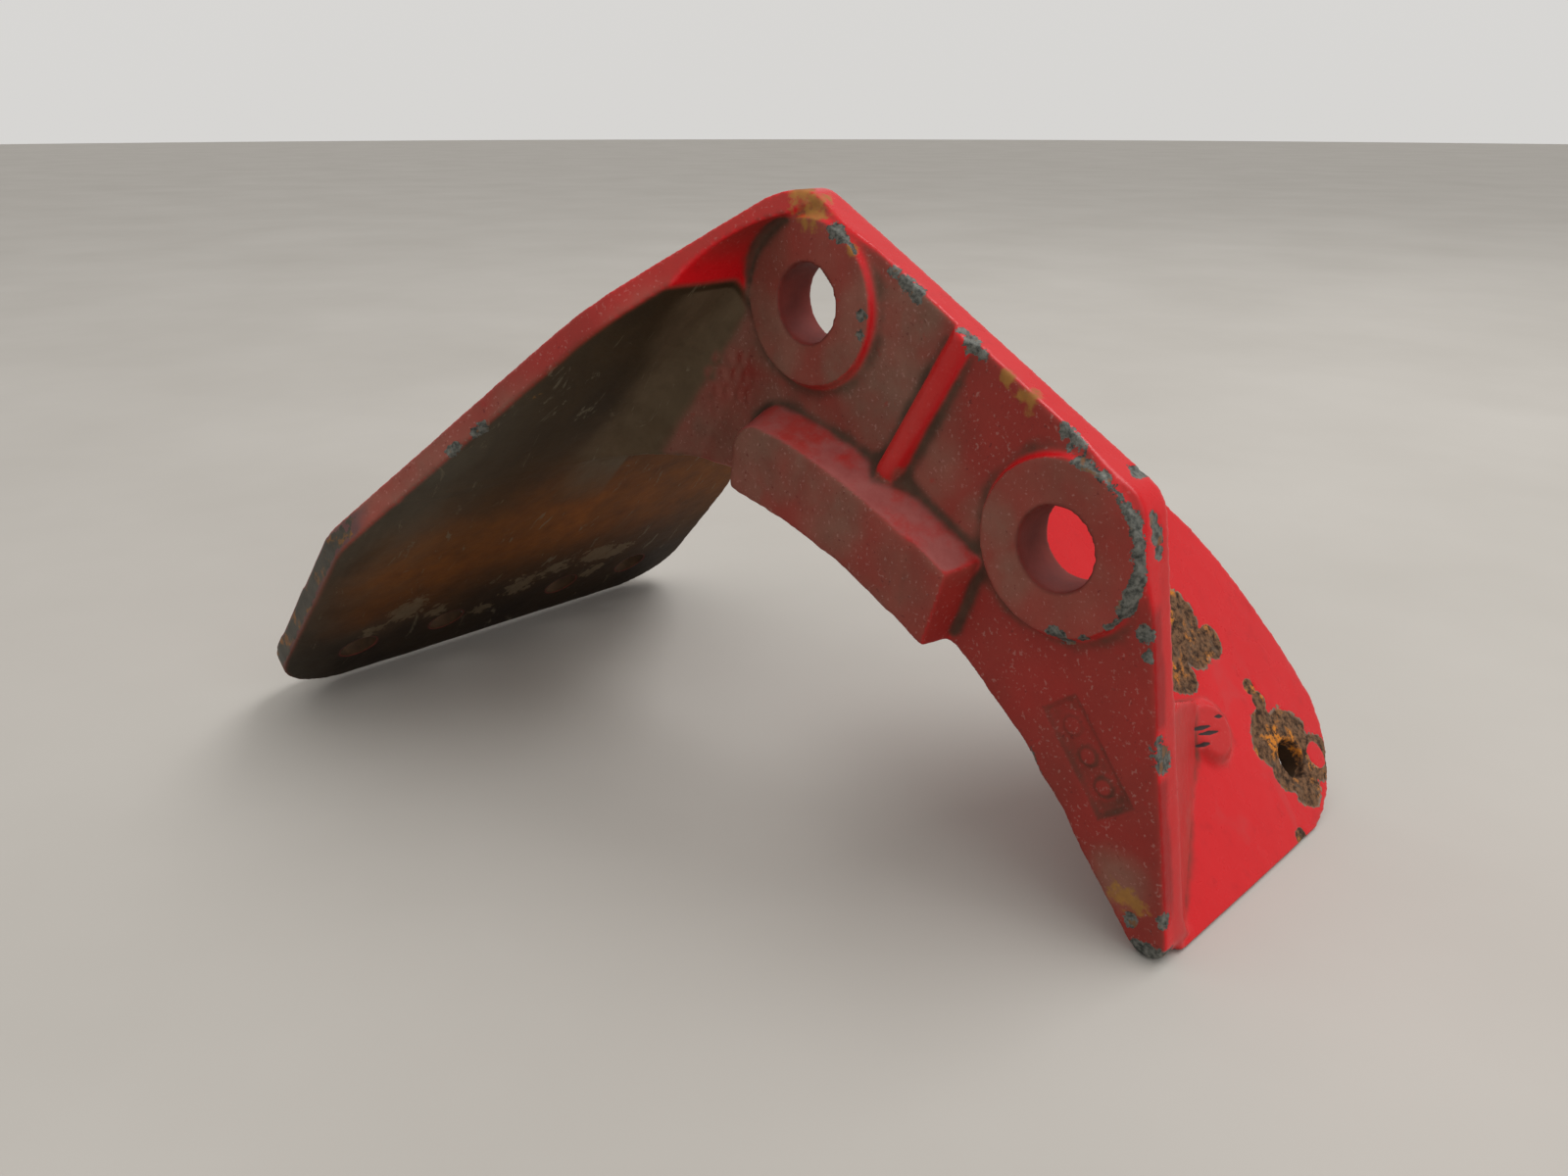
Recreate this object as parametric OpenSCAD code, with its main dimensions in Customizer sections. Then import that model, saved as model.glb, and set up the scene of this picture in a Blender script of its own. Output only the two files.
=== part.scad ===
// Mud flap bracket: one iron casting that holds a truck's mud flap.
// An arched web with two bolt bosses carries a wide sloping flange for the flap and a side wing.
// Origin: centre of the upper bolt bore, on the front face of its boss.
// +X runs along the web towards the wing, +Y points behind the web and +Z is up.
// The casting stands on the flange's lower edge and on the foot of the web and wing.

/* [Bolt bosses] */
// Diameter of the two frame bolt bores
bore_d = 17.5; // [16.5:0.5:19]
// Diameter of the bosses
boss_d = 37; // [34:1:38]
// Height of the bosses above the web's front face
boss_rise = 3; // [2:0.5:4]
// Distance between the two bores
bore_pitch = 80; // [78:1:82]
// Angle of the line of bores below horizontal
bore_drop = 30; // [28:1:32]

/* [Web] */
// Thickness of the web
web_t = 8; // [7:0.5:9]
// Height of the upper bore above the ground
stand_h = 124; // [120:1:126]
// Distance from the line of bores to the top edge
top_margin = 19.7; // [19:0.1:21]
// Radius of the apex, where the top edge meets the flange
apex_r = 9; // [5:1:12]
// Radius of the arch under the web
arch_r = 144.5; // [142:0.5:146]
// Sideways distance of the arch's centre from the upper bore
arch_offset = 38; // [36:1:40]
// Depth of the arch's crown below the upper bore
arch_crown = 44.5; // [43:0.5:46]
// Width across the foot of the web, along the ground
foot_reach = 102.6; // [101:0.2:104]
// Lean of the side edge from vertical
side_lean = 9.7; // [9:0.1:10.5]

/* [Saddle pad] */
// Height of the pad's machined face above the web
pad_rise = 10; // [7:0.5:12]
// Width of the pad, measured outwards from the arch
pad_w = 18.5; // [16:0.5:20]
// Angle from the arch's crown line to the pad's near end
pad_start = 7.5; // [6:0.5:9]
// Angle from the arch's crown line to the end of the machined face
pad_machined_end = 27.5; // [26:0.5:29]
// Angle from the arch's crown line to the pad's far end
pad_end = 31.5; // [31:0.5:33]

/* [Cross rib] */
// Width of the rib between the bosses
rib_w = 6; // [5:0.5:7]
// Distance of the rib from the upper bore, along the line of bores
rib_at = 38; // [36:0.5:40]

/* [Flap flange] */
// Slope of the flange below horizontal
flange_slope = 45; // [44:0.5:46]
// Thickness of the flange
flange_t = 6.5; // [6:0.5:8]
// Distance from the upper bore to the flange's inner face
flange_gap = 16.3; // [16:0.1:17]
// Reach of the flange in front of the origin
flange_front = 80; // [76:1:84]
// Reach of the flange behind the origin
flange_back = 69; // [64:1:74]
// Diameter of the flap bolt holes
flap_hole_d = 10.3; // [9:0.1:11.5]
// Height of the row of flap holes up the slope from the ground
flap_hole_up = 20; // [18:1:24]
// Distance between the two outer flap holes
flap_outer_pitch = 101.8; // [98:0.2:104]
// Distance between the two inner flap holes
flap_inner_pitch = 43.4; // [40:0.2:48]

/* [Side wing] */
// Thickness of the wing
wing_t = 7; // [6:0.5:8]
// Lean of the wing from vertical
wing_lean = 38; // [36:0.5:39]
// Reach of the wing behind the origin
wing_reach = 103; // [99:0.5:106]
// Radius of the wing's long curved edge
wing_edge_r = 133; // [128:1:140]
// Diameter of the wing's bolt hole
wing_hole_d = 9.8; // [9:0.1:11.5]

/* [Hidden] */
$fn = 96;

iron_red = "firebrick";
web_front = boss_rise;
web_back = web_front + web_t;
stand_z = -stand_h;
lower_bore = [bore_pitch * cos(bore_drop), -bore_pitch * sin(bore_drop)];
bores = [[0, 0], lower_bore];

// Unit vectors in the web's plane: along the line of bores, and square to it
along = [cos(bore_drop), -sin(bore_drop)];
square_up = [sin(bore_drop), cos(bore_drop)];

// The arch
arch_centre = [-arch_offset, -arch_crown - arch_r];

// The flange's inner face meets the ground at flange_foot_x
flange_foot_x = -(stand_h * cos(flange_slope) + flange_gap) / sin(flange_slope);
flange_out = [-sin(flange_slope), cos(flange_slope)];
flange_down = [-cos(flange_slope), -sin(flange_slope)];
apex = line_meet(top_margin * square_up, along, (flange_gap + flange_t) * flange_out, flange_down);
// Distance up the slope, from the ground to the point beside the upper bore
apex_up = (stand_h + flange_gap * cos(flange_slope)) / sin(flange_slope);
flap_row_y = (flange_back - flange_front) / 2;

// The side edge of the web, and the wing's outer face beside it
side_up = [-sin(side_lean), cos(side_lean)];
foot_corner = [foot_reach, stand_z];
shoulder = line_meet(top_margin * square_up, along, foot_corner, side_up);
wing_foot_x = foot_reach - 0.1;
wing_edge_up = 22;
wing_top = 113;
wing_hole_y = 81.5;
wing_hole_up = 17.2;
wing_corner_r = 32;

// The buttress's outline and the gate stub's place, as distances back and up the wing
buttress_outline = [[web_back - 1, 0], [66, 0], [66, 34], [52, 43], [web_back - 1, 50]];
buttress_slope = 22.7;
gate_at = [54.5, 34.5];
panel_at = [79.5, -83.5];

// The arch runs straight on to the heel, from where it leaves the circle
heel = [foot_reach - 7.2, stand_z];
heel_from = atan2(heel[0] - arch_centre[0], heel[1] - arch_centre[1])
    - acos(arch_r / norm(heel - arch_centre));

// Corners of the flange's outline, as distances up the slope and forward or back
flange_front_corner = [88, -flange_front + 2];
flange_front_bend = [168, -37];
flange_back_corner = [66, flange_back - 3.5];
flange_neck = apex_up + 16;

flange_blend_r = 8;
wing_blend_r = 6;

big = 400;
skin = 1;

// The point where the line through p along u meets the line through q along v
function cross2(a, b) = a[0] * b[1] - a[1] * b[0];
function line_meet(p, u, q, v) = p + u * cross2(q - p, v) / cross2(u, v);

// The point at radius r and angle a to the right of vertical, about the arch's centre
function arch_point(r, a) = arch_centre + r * [sin(a), cos(a)];

// A polygon's points with its corners rounded: each point is [x, y, corner radius]
function flat(p) = [p[0], p[1]];
function unit(v) = v / norm(v);
function corner_arc(p, q, s, r, steps = 8) =
    let (
        a = unit(p - q),
        b = unit(s - q),
        half = acos(a * b) / 2,
        centre = q + unit(a + b) * r / sin(half),
        from = q + a * r / tan(half) - centre,
        turn = (cross2(a, b) > 0 ? -1 : 1) * (180 - 2 * half)
    )
    [for (i = [0 : steps])
        let (t = turn * i / steps)
        centre + [from[0] * cos(t) - from[1] * sin(t), from[0] * sin(t) + from[1] * cos(t)]];
function rounded(path) = [
    for (i = [0 : len(path) - 1])
        let (
            n = len(path),
            p = path[(i + n - 1) % n],
            q = path[i],
            s = path[(i + 1) % n]
        )
        each q[2] > 0 ? corner_arc(flat(p), flat(q), flat(s), q[2]) : [flat(q)]
];

// A prism across the web: a shape drawn in X and Z, from y0 back to y1
module across(y0, y1) {
    translate([0, y1, 0]) rotate([90, 0, 0]) linear_extrude(y1 - y0) children();
}

// Places a shape with its +Z along the bores, pointing forward from y
module at_web(point, y) {
    translate([point[0], y, point[1]]) rotate([90, 0, 0]) children();
}

// The flange's own frame: x up the slope from the ground, y as in the part, z outwards
module on_flange() {
    translate([flange_foot_x, 0, stand_z]) rotate([0, -flange_slope, 0]) children();
}

// The wing's own frame: x towards the back, y up the wing, z outwards from its outer face
module on_wing() {
    translate([wing_foot_x, 0, stand_z]) rotate([0, -wing_lean, 0]) rotate([90, 0, 90]) children();
}

// The outer limit of the casting, seen along the bores
module limit_outline() {
    far_right = apex + along * big;
    far_left = apex + flange_down * big;
    polygon(rounded([
        [apex[0], apex[1], apex_r],
        [far_right[0], far_right[1], 0],
        [far_right[0], -big, 0],
        [far_left[0], -big, 0],
        [far_left[0], far_left[1], 0]
    ]));
}

module web_outline() {
    difference() {
        polygon(rounded([
            [apex[0], apex[1], apex_r],
            [shoulder[0], shoulder[1], 9],
            [foot_corner[0], foot_corner[1], 4],
            [heel[0], heel[1], 2.5],
            [each arch_point(arch_r - 0.3, heel_from), 0],
            [0, stand_z, 0],
            [flange_foot_x - flange_t, stand_z, 0]
        ]));
        translate(arch_centre) circle(arch_r, $fn = 240);
    }
}

module web() {
    across(web_front, web_back) web_outline();
}

// The flange narrows to the web's own thickness where it meets the apex
module flange_outline() {
    polygon(rounded([
        [0, -flange_front, 24],
        [each flange_front_corner, 14],
        [each flange_front_bend, 60],
        [flange_neck, web_front + 1, 0],
        [flange_neck, web_back - 1, 0],
        [each flange_back_corner, 40],
        [0, flange_back, 20]
    ]));
}

module flap_flange() {
    on_flange() linear_extrude(flange_t) flange_outline();
}

// Concave blend between the web's front face and the flange, wide at the arch and
// narrow beside the upper boss: a pyramid in the corner, less a cone touching both faces
module front_blend() {
    spread = 0.21;
    start = apex_up + 27;
    reach = start - 90;
    width = 0.94 * spread * reach;
    tilt = asin(spread / sqrt(1 + 2 * spread * spread));
    axis_len = reach * 1.1;
    intersection() {
        on_flange() difference() {
            intersection() {
                translate([0, web_front + skin, 0]) rotate([90, 0, 0]) linear_extrude(big) polygon([
                    [start, skin], [start, 0], [start - reach, -width], [start - reach, skin]
                ]);
                translate([0, 0, -big]) linear_extrude(big + skin) polygon([
                    [start, web_front + skin],
                    [start, web_front],
                    [start - reach, web_front - width],
                    [start - reach, web_front + skin]
                ]);
            }
            translate([start, web_front, 0])
                rotate([0, -90, 0])
                rotate([atan(spread), atan(spread / sqrt(1 + spread * spread)) * -1, 0])
                cylinder(h = axis_len, r1 = 0, r2 = axis_len * tan(tilt));
        }
        across(-big, big) difference() {
            limit_outline();
            translate(arch_centre) circle(arch_r, $fn = 240);
        }
        on_flange() translate([0, 0, -big]) linear_extrude(2 * big) flange_outline();
    }
}

// Concave blend of radius r along +Z, in the corner of the planes x = 0 and y = 0
module corner_blend(r, length) {
    difference() {
        translate([-skin, -skin, 0]) cube([r * 0.97 + skin, r * 0.97 + skin, length]);
        translate([r, r, -skin]) cylinder(h = length + 2 * skin, r = r);
    }
}

// Concave blends behind the web, each kept under the outline of the plate it joins.
// The wing has one on each face: side holds the face's depth and the blend's turn.
module rear_blends() {
    intersection() {
        union() {
            on_flange() intersection() {
                translate([0, web_back, 0]) rotate([0, 90, 0]) corner_blend(flange_blend_r, big);
                translate([0, 0, -big]) linear_extrude(big + flange_t) flange_outline();
            }
            on_wing() intersection() {
                for (side = [[-wing_t, -90], [0, 0]])
                    translate([web_back, 0, side[0]]) rotate([90, 0, 0]) rotate([0, 0, side[1]])
                        translate([0, 0, -big]) corner_blend(wing_blend_r, big);
                translate([0, 0, -big]) linear_extrude(2 * big) wing_outline();
            }
        }
        across(web_front, web_back + 10) web_outline();
    }
}

module wing_outline() {
    inner = web_back - skin;
    intersection() {
        translate([wing_reach - wing_edge_r, wing_edge_up]) circle(wing_edge_r, $fn = 240);
        polygon(rounded([
            [inner, 0, 0],
            [wing_reach + 0.5, 0, wing_corner_r],
            [wing_reach + 0.5, 60, 0],
            [68, wing_top, 30],
            [inner, wing_top, 0]
        ]));
    }
}

module side_wing() {
    on_wing() translate([0, 0, -wing_t]) linear_extrude(wing_t) wing_outline();
}

// Buttress behind the web's side edge: its front slopes down from the side face to the wing
module buttress() {
    on_wing() intersection() {
        translate([0, 0, -skin]) linear_extrude(big) polygon(buttress_outline);
        translate([buttress_outline[0][0], 0, 0])
            rotate([wing_lean - side_lean, 0, 0])
            rotate([0, buttress_slope, 0])
            translate([-big, -big, -big])
            cube([2 * big, 2 * big, big]);
    }
}

// Ground-off stub of the casting's gate, at the buttress's far end
module gate_stub() {
    on_wing() translate([each gate_at, -skin]) cylinder(h = 3.2, r1 = 9.5, r2 = 6);
}

// A boss with a concave blend round its base
module boss(point) {
    blend = 3;
    at_web(point, web_front + skin) cylinder(h = boss_rise + skin, d = boss_d);
    at_web(point, web_front) rotate_extrude() difference() {
        translate([boss_d / 2 - skin, -skin]) square([blend * 0.97 + skin, blend * 0.97 + skin]);
        translate([boss_d / 2 + blend, blend]) circle(blend);
    }
}

// Spot-faced clearance, which keeps the flange and its blend from in front of the upper boss
module boss_clearance() {
    at_web([0, 0], 0) cylinder(h = flange_front, d = boss_d + 1.6);
    at_web([0, 0], web_front) cylinder(h = boss_rise + 0.01, d1 = boss_d + 4, d2 = boss_d + 1.6);
}

// A convex outline on the arch's outer side, from angle a0 to a1 and out to radius r
module pad_outline(a0, a1, r, nose_r) {
    polygon(rounded([
        [each arch_point(arch_r - 6, a0), 0],
        [each arch_point(r, a0), nose_r],
        for (i = [2 : 8]) [each arch_point(r, a0 + (a1 - a0) * i / 8), 0],
        [each arch_point(arch_r - 6, a1 + 2.5), 0]
    ]));
}

// A stretch of the saddle pad: a flat face standing rise above the web, with drafted sides
module pad_stretch(a0, a1, rise) {
    face_r = arch_r + pad_w;
    hull() {
        across(web_front - rise, web_front - rise + 0.5) pad_outline(a0, a1, face_r, 8);
        across(web_front, web_front + skin) pad_outline(a0 - 1.2, a1 + 0.6, face_r + 3.5, 11);
    }
}

module saddle_pad() {
    pad_stretch(pad_start, pad_machined_end, pad_rise);
    pad_stretch(pad_start + 6, pad_end, pad_rise - 0.9);
}

// Half-round rib across the web, sinking into it towards the top edge
module cross_rib() {
    low = rib_at * along - square_up * 17;
    length = top_margin + 17;
    sink = asin(1.6 / length);
    translate([low[0], web_front - 1, low[1]])
        rotate([0, bore_drop - 90, 0])
        rotate([0, 0, sink])
        rotate([0, 90, 0])
        union() {
            cylinder(h = length, d = rib_w);
            sphere(d = rib_w);
        }
}

// Plain recessed panel with pips, on the leg beside the foot
module mark_panel_cut() {
    panel = [25, 9];
    at_web(panel_at, web_front + 0.8) rotate(-52)
        difference() {
            translate([-panel[0] / 2, -panel[1] / 2, 0]) cube([panel[0], panel[1], 2]);
            for (i = [-1 : 1]) translate([i * 7, 0, -skin]) cylinder(h = 1.6, d = 4);
        }
}

module frame_bores() {
    for (p = bores) at_web(p, web_back + skin) cylinder(h = web_back + 2 * skin, d = bore_d);
}

module flap_holes() {
    for (pitch = [flap_outer_pitch, flap_inner_pitch], side = [-1, 1])
        on_flange() translate([flap_hole_up, flap_row_y + side * pitch / 2, -skin])
            cylinder(h = flange_t + 2 * skin, d = flap_hole_d);
}

module wing_hole() {
    on_wing() translate([wing_hole_y, wing_hole_up, -wing_t - skin])
        cylinder(h = wing_t + 2 * skin, d = wing_hole_d);
}

// Everything below the ground, which trims the wing's lower edge level
module below_ground() {
    translate([-big, -big, stand_z - big]) cube([2 * big, 2 * big, big]);
}

// Everything on the web's front face, kept inside the web's own outline
module front_details() {
    intersection() {
        union() {
            for (p = bores) boss(p);
            saddle_pad();
            cross_rib();
        }
        across(-big, web_back) web_outline();
    }
}

module bracket_casting() {
    color(iron_red) difference() {
        union() {
            difference() {
                intersection() {
                    union() {
                        web();
                        flap_flange();
                    }
                    across(-big, big) limit_outline();
                }
                boss_clearance();
            }
            difference() {
                front_blend();
                boss_clearance();
            }
            rear_blends();
            side_wing();
            buttress();
            gate_stub();
            front_details();
        }
        frame_bores();
        flap_holes();
        wing_hole();
        mark_panel_cut();
        below_ground();
    }
}

bracket_casting();
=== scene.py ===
"""Used truck mud flap bracket: one red-painted iron casting on a pale floor."""

import math

import bpy
import numpy as np
from mathutils import Matrix, Vector


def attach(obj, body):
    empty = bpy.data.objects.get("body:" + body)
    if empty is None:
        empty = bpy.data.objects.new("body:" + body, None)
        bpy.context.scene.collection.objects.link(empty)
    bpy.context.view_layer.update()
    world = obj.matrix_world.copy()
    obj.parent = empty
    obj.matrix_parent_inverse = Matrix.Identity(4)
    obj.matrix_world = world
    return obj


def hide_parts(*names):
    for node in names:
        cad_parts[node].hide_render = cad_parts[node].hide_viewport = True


MM = 0.001
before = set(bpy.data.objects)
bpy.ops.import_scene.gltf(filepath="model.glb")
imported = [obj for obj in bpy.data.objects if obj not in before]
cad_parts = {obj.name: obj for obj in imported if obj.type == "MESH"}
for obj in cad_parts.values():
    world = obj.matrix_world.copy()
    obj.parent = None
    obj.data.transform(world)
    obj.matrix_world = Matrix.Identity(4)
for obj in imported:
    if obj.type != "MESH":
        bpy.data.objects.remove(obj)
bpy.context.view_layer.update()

VOXEL, QUICK_VOXEL = 0.65, 1.2

# Places in the shared frame, in millimetres. The bores' axes run along Y, at these (x, z).
GROUND = -124.0
BORES = [(0.0, 0.0), (69.28, -40.0)]
BORE_R, BOSS_R = 8.75, 18.5
WEB_FRONT, WEB_BACK = 3.0, 11.0
ARCH_CENTRE, ARCH_R = (-38.0, -189.0), 144.5
PAD_FACE_Y = -7.0
FLANGE_FOOT_X = -147.05
FLANGE_MIDDLE = 3.0
FLAP_HOLES_UP = 20.0
FLAP_HOLES_Y = (-56.4, -27.2, 16.2, 45.4)
WING_FOOT_X = 102.5
WING_LEAN = math.radians(38.0)
WING_HOLE = (81.5, 17.2)
HOLE_R = 5.15

# The rib lies square to the line of bores, RIB_AT along it
ALONG_BORES, SQUARE_UP = np.array([0.866, 0.0, -0.5]), np.array([0.5, 0.0, 0.866])
RIB_AT = 38.0

# The plain panel on the leg: its middle, half its sides, its turn and its pips
PANEL = (79.5, -83.5)
PANEL_HALF = (12.5, 4.5)
PANEL_TURN = math.radians(52)
PIP_PITCH, PIP_R = 7.0, 2.2

# Directions that the flange's inner face and the wing's inner face look in
FLANGE_INWARD = np.array([0.7071, 0.0, -0.7071])
WING_INWARD = np.array([-math.cos(WING_LEAN), 0.0, -math.sin(WING_LEAN)])

# Value of a field where it doesn't apply
NOWHERE = -1.0


# ---------------------------------------------------------------- numbers and noise


def smoothstep(lo, hi, x):
    """0 at lo, 1 at hi and a smooth rise between; lo may be the larger of the two."""
    t = np.clip((x - lo) / (hi - lo), 0.0, 1.0)
    return t * t * (3 - 2 * t)


def lattice(ix, iy, iz, seed):
    """A repeatable random number from 0 to 1 for each lattice point."""
    h = (ix * 374761393 + iy * 668265263 + iz * 2147483647 + seed * 144665) & 0xFFFFFFFF
    h = ((h ^ (h >> 13)) * 1274126177) & 0xFFFFFFFF
    h = ((h ^ (h >> 16)) * 2246822519) & 0xFFFFFFFF
    return ((h ^ (h >> 15)) & 0xFFFFFF) / float(0xFFFFFF)


def noise(p, scale, seed):
    """Smooth value noise from -1 to 1 over points p, with features about scale wide."""
    q = p / scale + 100.0
    i = np.floor(q).astype(np.int64)
    f = q - i
    f = f * f * f * (f * (f * 6 - 15) + 10)
    total = np.zeros(len(p))
    for dx in (0, 1):
        for dy in (0, 1):
            for dz in (0, 1):
                w = np.where(dx, f[:, 0], 1 - f[:, 0])
                w = w * np.where(dy, f[:, 1], 1 - f[:, 1])
                w = w * np.where(dz, f[:, 2], 1 - f[:, 2])
                total += w * lattice(i[:, 0] + dx, i[:, 1] + dy, i[:, 2] + dz, seed)
    return total * 2 - 1


def layered(p, scale, seed, octaves=3):
    """Noise with finer noise added: each octave has half the size and weight of the last."""
    total, weight, size = np.zeros(len(p)), 0.0, 1.0
    for k in range(octaves):
        total += size * noise(p, scale / 2**k, seed + k)
        weight += size
        size *= 0.5
    return total / weight


def spots(points, places):
    """How deep each point lies in the nearest of the round places: 1 at a centre, 0 on a rim."""
    best = np.full(len(points), -4.0)
    for place in places:
        centre, r = place[:-1], place[-1]
        best = np.maximum(best, 1 - np.linalg.norm(points - centre, axis=1) / r)
    return best


# ---------------------------------------------------------------- the casting's surface


class Surface:
    """The casting's fine mesh: points in millimetres, neighbours and normals."""

    def __init__(self, mesh):
        n = len(mesh.vertices)
        co = np.empty(n * 3)
        mesh.vertices.foreach_get("co", co)
        self.mesh = mesh
        self.p = co.reshape(n, 3) / MM
        ends = np.empty(len(mesh.edges) * 2, dtype=np.int64)
        mesh.edges.foreach_get("vertices", ends)
        a, b = ends[0::2], ends[1::2]
        self.a, self.b = np.concatenate([a, b]), np.concatenate([b, a])
        self.count = np.maximum(np.bincount(self.a, minlength=n), 1)
        self.read_normals()

    def average(self, values):
        """Each vertex's mean over its neighbours."""
        if values.ndim == 1:
            return np.bincount(self.a, values[self.b], len(self.p)) / self.count
        return np.stack([self.average(values[:, k]) for k in range(values.shape[1])], 1)

    def blur(self, values, rounds, keep=0.4):
        """Mixes each vertex's value with its neighbours', over and over."""
        for _ in range(rounds):
            values = keep * values + (1 - keep) * self.average(values)
        return values

    def read_normals(self):
        """Writes the points to the mesh and reads its normals back."""
        self.mesh.vertices.foreach_set("co", (self.p * MM).ravel())
        self.mesh.update()
        normals = np.empty(len(self.p) * 3)
        self.mesh.vertices.foreach_get("normal", normals)
        self.n = normals.reshape(-1, 3)

    def push(self, amount):
        """Moves each vertex along its normal by amount, in millimetres."""
        self.p = self.p + self.n * amount[:, None]
        self.read_normals()

    def ease(self, rounds, edge_limit, corner_limit, where):
        """Rounds outer edges and fills inner corners until they are as soft as the limits say."""
        for k in range(rounds):
            step = self.average(self.p) - self.p
            out = np.einsum("ij,ij->i", step, self.n)
            corner = smoothstep(corner_limit, 2 * corner_limit, out)
            edge = smoothstep(edge_limit, 2 * edge_limit, -out)
            self.p = self.p + step * (0.7 * np.maximum(corner, edge) * where)[:, None]
            if k % 4 == 3:
                self.read_normals()
        self.read_normals()

    def bend(self, rounds):
        """Convexity at about the size rounds reaches: above 0 on outer edges, below 0 in corners."""
        return np.einsum("ij,ij->i", self.p - self.blur(self.p, rounds), self.n)

    def store(self, name, values):
        """Keeps a field on the mesh, for the material to read."""
        layer = self.mesh.attributes.new(name, "FLOAT", "POINT")
        layer.data.foreach_set("value", np.asarray(values, dtype=np.float32))


def remeshed_copy(node, voxel_mm):
    """An even, closed mesh over a CAD node."""
    ob = bpy.data.objects.new("source_copy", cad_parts[node].data.copy())
    bpy.context.scene.collection.objects.link(ob)
    remesh = ob.modifiers.new("even", "REMESH")
    remesh.mode = "VOXEL"
    remesh.voxel_size = voxel_mm * MM
    dg = bpy.context.evaluated_depsgraph_get()
    mesh = bpy.data.meshes.new_from_object(ob.evaluated_get(dg), depsgraph=dg)
    bpy.data.objects.remove(ob)
    return mesh


def bore_distance(p):
    """Distance of each point from the nearer bolt bore's axis."""
    return np.min([np.hypot(p[:, 0] - x, p[:, 2] - z) for x, z in BORES], axis=0)


def arch_distance(p):
    """Distance of each point outwards from the arch's circle."""
    return np.hypot(p[:, 0] - ARCH_CENTRE[0], p[:, 2] - ARCH_CENTRE[1]) - ARCH_R


def flange_frame(p):
    """Each point's distance up the flange's slope, and outwards from its inner face."""
    x, z = p[:, 0] - FLANGE_FOOT_X, p[:, 2] - GROUND
    return (x + z) * math.sqrt(0.5), (z - x) * math.sqrt(0.5)


def wing_frame(p):
    """Each point's height up the wing, and depth in from its outer face."""
    x, z = p[:, 0] - WING_FOOT_X, p[:, 2] - GROUND
    up = -x * math.sin(WING_LEAN) + z * math.cos(WING_LEAN)
    return up, -(x * math.cos(WING_LEAN) + z * math.sin(WING_LEAN))


def small_hole_distance(s):
    """Distance of each point of the flange and wing from the nearest small hole's axis."""
    far = 99.0
    on_slope = [np.hypot(s.up - FLAP_HOLES_UP, s.p[:, 1] - y) for y in FLAP_HOLES_Y]
    flange = np.where(np.abs(s.out - FLANGE_MIDDLE) < 6, np.min(on_slope, axis=0), far)
    wing = np.hypot(s.p[:, 1] - WING_HOLE[0], s.wing_up - WING_HOLE[1])
    return np.minimum(flange, np.where(s.wing_depth < 12, wing, far))


def machined_mask(s):
    """1 on the spot-faced bosses, the pad's face and the bores, which stay flat and true."""
    facing = s.n[:, 1] < -0.8
    boss = smoothstep(0.7, 0.3, np.abs(s.p[:, 1])) * (s.bore < BOSS_R + 0.5)
    pad = smoothstep(1.3, 0.9, np.abs(s.p[:, 1] - PAD_FACE_Y))
    bores = smoothstep(BORE_R + 0.7, BORE_R + 0.3, s.bore)
    holes = smoothstep(HOLE_R + 0.7, HOLE_R + 0.3, s.hole)
    return np.maximum.reduce([boss * facing, pad * facing, bores, holes])


# ---------------------------------------------------------------- where the wear lies

# Paint chips as x, y, z and radius
CHIPS = [
    (8.3, 0.5, 16.4, 2.1),
    (10.6, 0.5, 14.6, 1.7),
    (16.8, 0.6, -0.6, 1.6),
    (16.4, 0.6, -5.0, 1.4),
    (23.4, 3.0, 9.1, 2.3),
    (26.0, 2.8, 7.6, 2.6),
    (28.8, 3.0, 5.4, 2.3),
    (41.5, 3.0, -1.3, 1.5),
    (44.6, 2.8, -3.4, 2.5),
    (47.0, 3.0, -5.4, 1.6),
    (67.5, 2.6, -17.2, 2.0),
    (69.8, 2.4, -18.2, 2.3),
    (80.3, 8.6, -23.4, 2.0),
    (88.0, 5.5, -30.5, 1.8),
    (87.9, 6.3, -34.0, 1.9),
    (88.0, 6.6, -37.5, 1.5),
    (88.9, 3.0, -52.8, 1.9),
    (90.2, 3.0, -57.2, 1.4),
    (95.9, 4.5, -76.0, 3.0),
    (96.5, 5.4, -79.3, 3.0),
    (97.5, 6.3, -81.5, 1.8),
    (101.2, 3.4, -112.6, 2.3),
    (100.6, 4.5, -123.5, 3.6),
    (97.6, 3.6, -122.8, 3.2),
    (93.6, 3.2, -116.8, 2.0),
    (72.3, 0.6, -58.2, 2.6),
    (77.0, 0.6, -56.9, 1.5),
    (-37.6, -19.0, 2.8, 1.6),
    (-52.0, -55.7, -29.4, 3.0),
    (-57.0, -59.0, -34.0, 2.4),
]
# Chips round a boss's rim as the bore's number, start and end angle in degrees, and half width
RIM_CHIPS = [(1, -28, 78, 2.1), (1, -45, -36, 1.2), (0, 40, 66, 1.1)]
# Rust patches on the wing's outer face as back, up and radius
WING_RUST = [
    (58.0, 62.0, 12.0),
    (66.0, 60.0, 6.5),
    (50.0, 68.0, 11.0),
    (73.0, 52.5, 4.2),
    (65.0, 53.0, 6.0),
    (56.0, 50.0, 6.0),
    (84.5, 22.0, 8.0),
    (76.0, 24.5, 7.0),
    (91.0, 13.5, 6.5),
    (82.0, 11.0, 6.5),
    (75.5, 15.0, 5.0),
    (95.0, 15.5, 3.0),
    (80.0, 33.5, 2.6),
    (79.0, 38.0, 2.2),
    (78.5, 29.5, 3.0),
    (68.8, 1.2, 2.4),
]
# Paint left whole inside a rust patch, in the same terms
RED_ISLAND = [(91.6, 14.0, 3.4)]
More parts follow.
